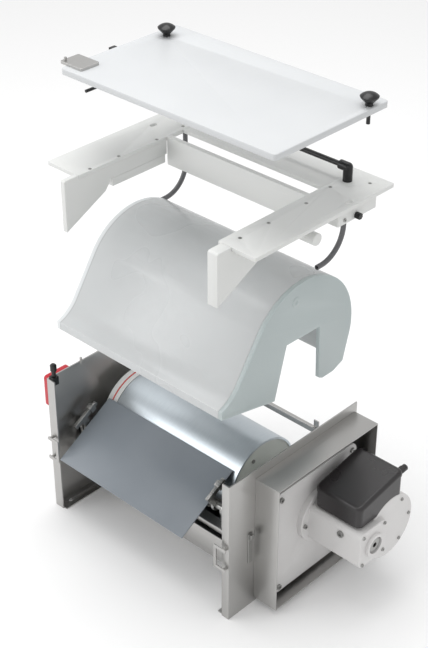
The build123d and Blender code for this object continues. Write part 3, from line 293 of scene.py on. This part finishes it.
# %% Stainless steel
def brushed_steel(name, colour, along, rough=0.36):
    """along is the stretch of the streaks: small along the brushing, large across it."""
    finish = Finish(name, Metallic=1.0)
    streaks = finish.noise(60.0, 4.0, along, 0.6)
    fine = finish.noise(900.0, 2.0, along, 0.5)
    smears = finish.noise(7.0, 3.0)
    finish.to("Roughness", rough + (streaks - 0.5) * 0.16 + (smears - 0.5) * 0.14)
    darker = tuple(c * 0.84 for c in colour)
    finish.to("Base Color", finish.mix(streaks * 0.6 + smears * 0.4, darker, colour))
    finish.bump(streaks * 0.4 + fine * 0.6, 0.25, 0.0001)
    return finish.material


finishes = {
    "stainless_sheet": brushed_steel("stainless_sheet", tone(192, 191, 189), (12.0, 0.7, 12.0)),
    "steel_parts": brushed_steel("turned_steel", tone(172, 172, 170), (0.8, 9.0, 9.0), 0.3),
}

# %% [markdown]
# ## Drum
#
# The freezing drum is ground to a fine even finish, and the marks run round it. The same streaks as
# on the sheet are made very short along the axis and long round it, and a colder colour and a lower
# roughness give the bright bands that it shows.


# %% Ground drum
def ground_drum():
    finish = Finish("ground_drum", Metallic=1.0)
    rings = finish.noise(90.0, 4.0, (10.0, 0.35, 0.35), 0.65)
    frost = finish.noise(14.0, 4.0)
    finish.to("Roughness", 0.34 + (rings - 0.5) * 0.14 + (frost - 0.5) * 0.1)
    finish.to("Base Color", finish.mix(rings, tone(178, 187, 194), tone(208, 215, 219)))
    finish.bump(rings, 0.15, 0.00008)
    return finish.material


finishes["drum_steel"] = ground_drum()

# %% [markdown]
# ## White plastics
#
# The frame and the lid are milled from white polyethylene board: matt, with the faint arcs of the
# cutter. The hood is thinner and milky, so some light goes into it and comes out again nearby. The
# subsurface part of the shader does that, and it has to be told how far the light travels.


# %% Polyethylene and milky plastic
def milled_board(name, dark, light):
    finish = Finish(
        name, Subsurface_Weight=0.15, Subsurface_Radius=(0.01, 0.01, 0.009),
        Subsurface_Scale=0.4,
    )
    cutter = finish.noise(240.0, 3.0, (1.0, 0.12, 1.0))
    cloud = finish.noise(5.0, 2.0)
    finish.to("Base Color", finish.mix(cloud, dark, light))
    finish.to("Roughness", 0.42 + (cutter - 0.5) * 0.12 + (cloud - 0.5) * 0.1)
    finish.bump(cutter, 0.1, 0.0001)
    return finish.material


def milky_sheet(name, dark, light, rough, rim_x=None):
    """rim_x is where a rim welded behind the sheet ends: painted light over it, a thin painted shade
    line past it.
    """
    finish = Finish(
        name, Subsurface_Weight=0.35, Subsurface_Radius=(0.02, 0.022, 0.022),
        Subsurface_Scale=0.6,
    )
    cloud = finish.noise(4.0, 2.0)
    grain = finish.noise(700.0, 2.0)
    colour = finish.mix(cloud, dark, light)
    if rim_x is not None:
        # Painted shade: a thin darker line just past the rim. Painted light: a paler band over the
        # rim.
        groove_start, groove_end, groove_softness, groove_shade_strength = 0.0006, 0.003, 0.001, 0.35
        rim_softness, rim_light_strength = 0.0005, 0.8
        x = finish.coordinate(0)
        past_start = x.above(rim_x + groove_start, groove_softness)
        past_end = x.above(rim_x + groove_end, groove_softness)
        groove_painted_shade = (past_start * (1.0 - past_end)) * groove_shade_strength
        rim_painted_light = 1.0 - x.above(rim_x, rim_softness)
        colour = finish.mix(groove_painted_shade, colour, tuple(c * 0.6 for c in dark))
        colour = finish.mix(rim_painted_light * rim_light_strength, colour, tone(222, 225, 226))
    finish.to("Base Color", colour)
    finish.to("Roughness", rough + (cloud - 0.5) * 0.16)
    finish.bump(grain, 0.08, 0.0001)
    return finish.material


# One board in two tones: the frame's is lighter, painted light where it sits in the lid's shadow;
# the lid's is darker, painted shade where it takes the overhead lamp full on.
finishes["white_board"] = milled_board("milled_board", tone(214, 215, 213), tone(224, 225, 223))
finishes["lid_board_painted_shade"] = milled_board("lid_board_painted_shade", tone(196, 198, 200), tone(208, 210, 211))
hood_rim_width = 0.009
hood_rim_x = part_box("hood_shell")[0].x + hood_rim_width
finishes["hood_plastic"] = milky_sheet(
    "milky_hood", tone(188, 190, 191), tone(202, 204, 204), 0.28, hood_rim_x
)
finishes["hood_end_plastic"] = milky_sheet(
    "milky_end", tone(168, 178, 178), tone(184, 193, 193), 0.36
)
finishes["drum_end_plastic"] = milky_sheet(
    "drum_end", tone(206, 212, 206), tone(222, 228, 221), 0.4
)

# %% [markdown]
# ## Paints
#
# Three paints are on the machine. The discharge plate has a satin slate powder coat, the gearbox
# has a light enamel over a rough casting, and the motor and its terminal box are dark grey. A fine
# noise in the bump is the orange peel of the paint, and a coarse one is the skin of the casting
# under it.


# %% Paints
def paint(name, dark, light, rough, casting_depth, peel_depth=0.00006):
    finish = Finish(name, Coat_Weight=0.12, Coat_Roughness=0.25)
    cloud = finish.noise(9.0, 3.0)
    peel = finish.noise(420.0, 2.0)
    casting = finish.noise(130.0, 4.0)
    finish.to("Base Color", finish.mix(cloud, dark, light))
    finish.to("Roughness", rough + (cloud - 0.5) * 0.14)
    whole = casting_depth + peel_depth
    height = casting * (casting_depth / whole) + peel * (peel_depth / whole)
    finish.bump(height, 0.5, whole)
    return finish.material


finishes["slate_plate"] = paint(
    "slate_coat", tone(122, 129, 136), tone(136, 143, 150), 0.34, casting_depth=0.00002
)
finishes["cast_paint"] = paint(
    "gearbox_enamel", tone(206, 204, 203), tone(218, 217, 216), 0.4, casting_depth=0.0003
)
finishes["dark_motor"] = paint(
    "motor_enamel", tone(30, 28, 29), tone(46, 43, 44), 0.28, casting_depth=0.0002
)

# %% [markdown]
# ## Small plastics and rubber
#
# The knobs, the pipes and the switch are moulded. They differ in colour and gloss only, so one
# function makes them all: a touch of noise in the colour and in the gloss keeps them from looking
# flat.


# %% Moulded plastics
def moulded(name, colour, rough, grain_depth=0.00005):
    finish = Finish(name)
    cloud = finish.noise(30.0, 3.0)
    grain = finish.noise(1100.0, 2.0)
    lighter = tuple(min(1.0, c * 1.25 + 0.002) for c in colour)
    finish.to("Base Color", finish.mix(cloud, colour, lighter))
    finish.to("Roughness", rough + (cloud - 0.5) * 0.16)
    finish.bump(grain, 0.3, grain_depth)
    return finish.material


finishes["black_plastic"] = moulded("black_plastic", tone(16, 16, 17), 0.3)
finishes["pipe_plastic"] = moulded("pipe_plastic", tone(92, 92, 94), 0.45)
finishes["red_plastic"] = moulded("red_plastic", tone(182, 26, 42), 0.3)
finishes["red_rubber"] = moulded("red_rubber", tone(188, 52, 40), 0.5)

# %% [markdown]
# ## Rounded edges
#
# No sheet or board has a razor edge, and it is the thin bright line along an edge that makes it
# look real. The CAD meshes stay as they are. A copy has its doubled points merged and its flat
# faces joined, and then a Bevel modifier rounds every edge that turns by more than 35 degrees.


# %% Rounded copies
merge_distance = 1e-6
flat_turn = radians(0.8)
sharp_turn = radians(35)
edge_steps = 2
fold_steps = 6
fold_reach = 0.008
mostly_along = 0.9


def rounded_copy(node, width, bend_at=None, bend_width=0.0):
    """A piece like the CAD node with rounded edges; it stands for that node.

    bend_at is the (y, z) of a fold along X, which gets a wide soft bend.
    """
    mesh = nodes[node].data.copy()
    shape = bmesh.new()
    shape.from_mesh(mesh)
    bmesh.ops.remove_doubles(shape, verts=shape.verts, dist=merge_distance)
    bmesh.ops.dissolve_limit(
        shape, angle_limit=flat_turn, verts=shape.verts, edges=shape.edges
    )
    bends = shape.edges.layers.float.new("bevel_weight_edge")
    for edge in shape.edges:
        y, z = ((a + b) / 2 for a, b in zip(edge.verts[0].co.yz, edge.verts[1].co.yz))
        run_x = abs(edge.verts[0].co.x - edge.verts[1].co.x)
        along_x = run_x > mostly_along * edge.calc_length()
        near_bend = bend_at and max(abs(y - bend_at[0]), abs(z - bend_at[1])) < fold_reach
        edge[bends] = 1.0 if near_bend and along_x else 0.0
    for face in shape.faces:
        face.smooth = True
    shape.to_mesh(mesh)
    shape.free()
    mesh.materials.clear()
    # The lid gets the darker copy of the board, whose colour holds painted shade.
    mesh.materials.append(finishes["lid_board_painted_shade" if node == "lid_plate" else slot_of[node]])
    piece = bpy.data.objects.new(node + "_finished", mesh)
    bpy.context.scene.collection.objects.link(piece)
    if bend_at:
        bend = piece.modifiers.new("sheet_bend", "BEVEL")
        bend.width = bend_width
        bend.segments = fold_steps
        bend.limit_method = "WEIGHT"
        bend.use_clamp_overlap = False
    bevel = piece.modifiers.new("edge_round", "BEVEL")
    bevel.width = width
    bevel.segments = edge_steps
    bevel.limit_method = "ANGLE"
    bevel.angle_limit = sharp_turn
    bevel.harden_normals = True
    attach(piece, body_of[node])
    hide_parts(node)


edge_widths = {
    "left_flange": 0.0012, "right_flange": 0.0012, "rear_panel": 0.0008, "left_skirt": 0.0012,
    "right_skirt": 0.0015, "rear_beam": 0.001, "side_rails": 0.001, "frame_legs": 0.001,
    "lid_plate": 0.0015, "left_side_plate": 0.0006, "right_side_plate": 0.0006,
    "drive_pan": 0.0006, "water_trough": 0.0006, "gear_mounting_plate": 0.001,
    "discharge_plate": 0.0006, "rear_rail": 0.0004, "bottom_tie_bar": 0.0004,
    "latch_keepers": 0.0005, "hood_rests": 0.0004, "scraper_arms": 0.0006, "arm_blocks": 0.0006,
    "arm_tips": 0.0005, "pivot_lugs": 0.0005, "scraper_carrier": 0.0006, "switch_base": 0.0008,
    "plunger_bracket": 0.0008, "scraper_cross_rail": 0.0004,
}
for node, width in edge_widths.items():
    rounded_copy(node, width)
print("rounded copies:", len(edge_widths))

# %% [markdown]
# ## Hood
#
# The hood is one sheet, bent over a former, with a thicker plate welded to its right end. A sheet
# that is bent warm never has a sharp fold, so the fold at the foot of its flank gets a bevel of
# 26 mm with six steps, on the sheet and on the plate's corner alike.

# %% Hood sheet and end plate
flank_foot = (-0.172, 0.553)
fold_width = 0.026
rounded_copy("hood_shell", 0.0012, bend_at=flank_foot, bend_width=fold_width)
rounded_copy("hood_right_end", 0.0015, bend_at=flank_foot, bend_width=fold_width)
print("hood fold at", flank_foot)

# %% [markdown]
# ## Catch on the right side plate
#
# A flat spring catch sits on the outside of the right side plate, ahead of the pan. It carries
# nothing, so it has no CAD solid: a thin bevelled strip and a small nose on it are enough.


# %% Catch
def strip(name, low, high, finish_name, width=0.0006):
    """A bevelled box on the root body: its corners are every choice of low or high X, Y and Z."""
    sides = [(low[axis], high[axis]) for axis in (2, 1, 0)]
    z, y, x = np.meshgrid(*sides, indexing="ij")
    corners = np.column_stack((x.ravel(), y.ravel(), z.ravel())).tolist()
    faces = [(0, 2, 3, 1), (4, 5, 7, 6), (0, 1, 5, 4), (2, 6, 7, 3), (0, 4, 6, 2), (1, 3, 7, 5)]
    mesh = bpy.data.meshes.new(name)
    mesh.from_pydata(corners, [], faces)
    mesh.materials.append(finishes[finish_name])
    piece = bpy.data.objects.new(name, mesh)
    bpy.context.scene.collection.objects.link(piece)
    bevel = piece.modifiers.new("edge_round", "BEVEL")
    bevel.width = width
    bevel.segments = edge_steps
    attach(piece, "root")


catch_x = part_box("right_side_plate")[1].x
strip_face = catch_x + 0.003
nose_tip = catch_x + 0.008
strip("plate_catch", (catch_x, -0.147, 0.124), (strip_face, -0.134, 0.205), "steel_parts")
strip("catch_nose", (strip_face, -0.145, 0.19), (nose_tip, -0.136, 0.203), "steel_parts")
print("catch at x", round(catch_x, 4))

# %% Finish on the CAD nodes that are shown as they are
for node, piece in nodes.items():
    piece.data.materials.clear()
    piece.data.materials.append(finishes[slot_of[node]])
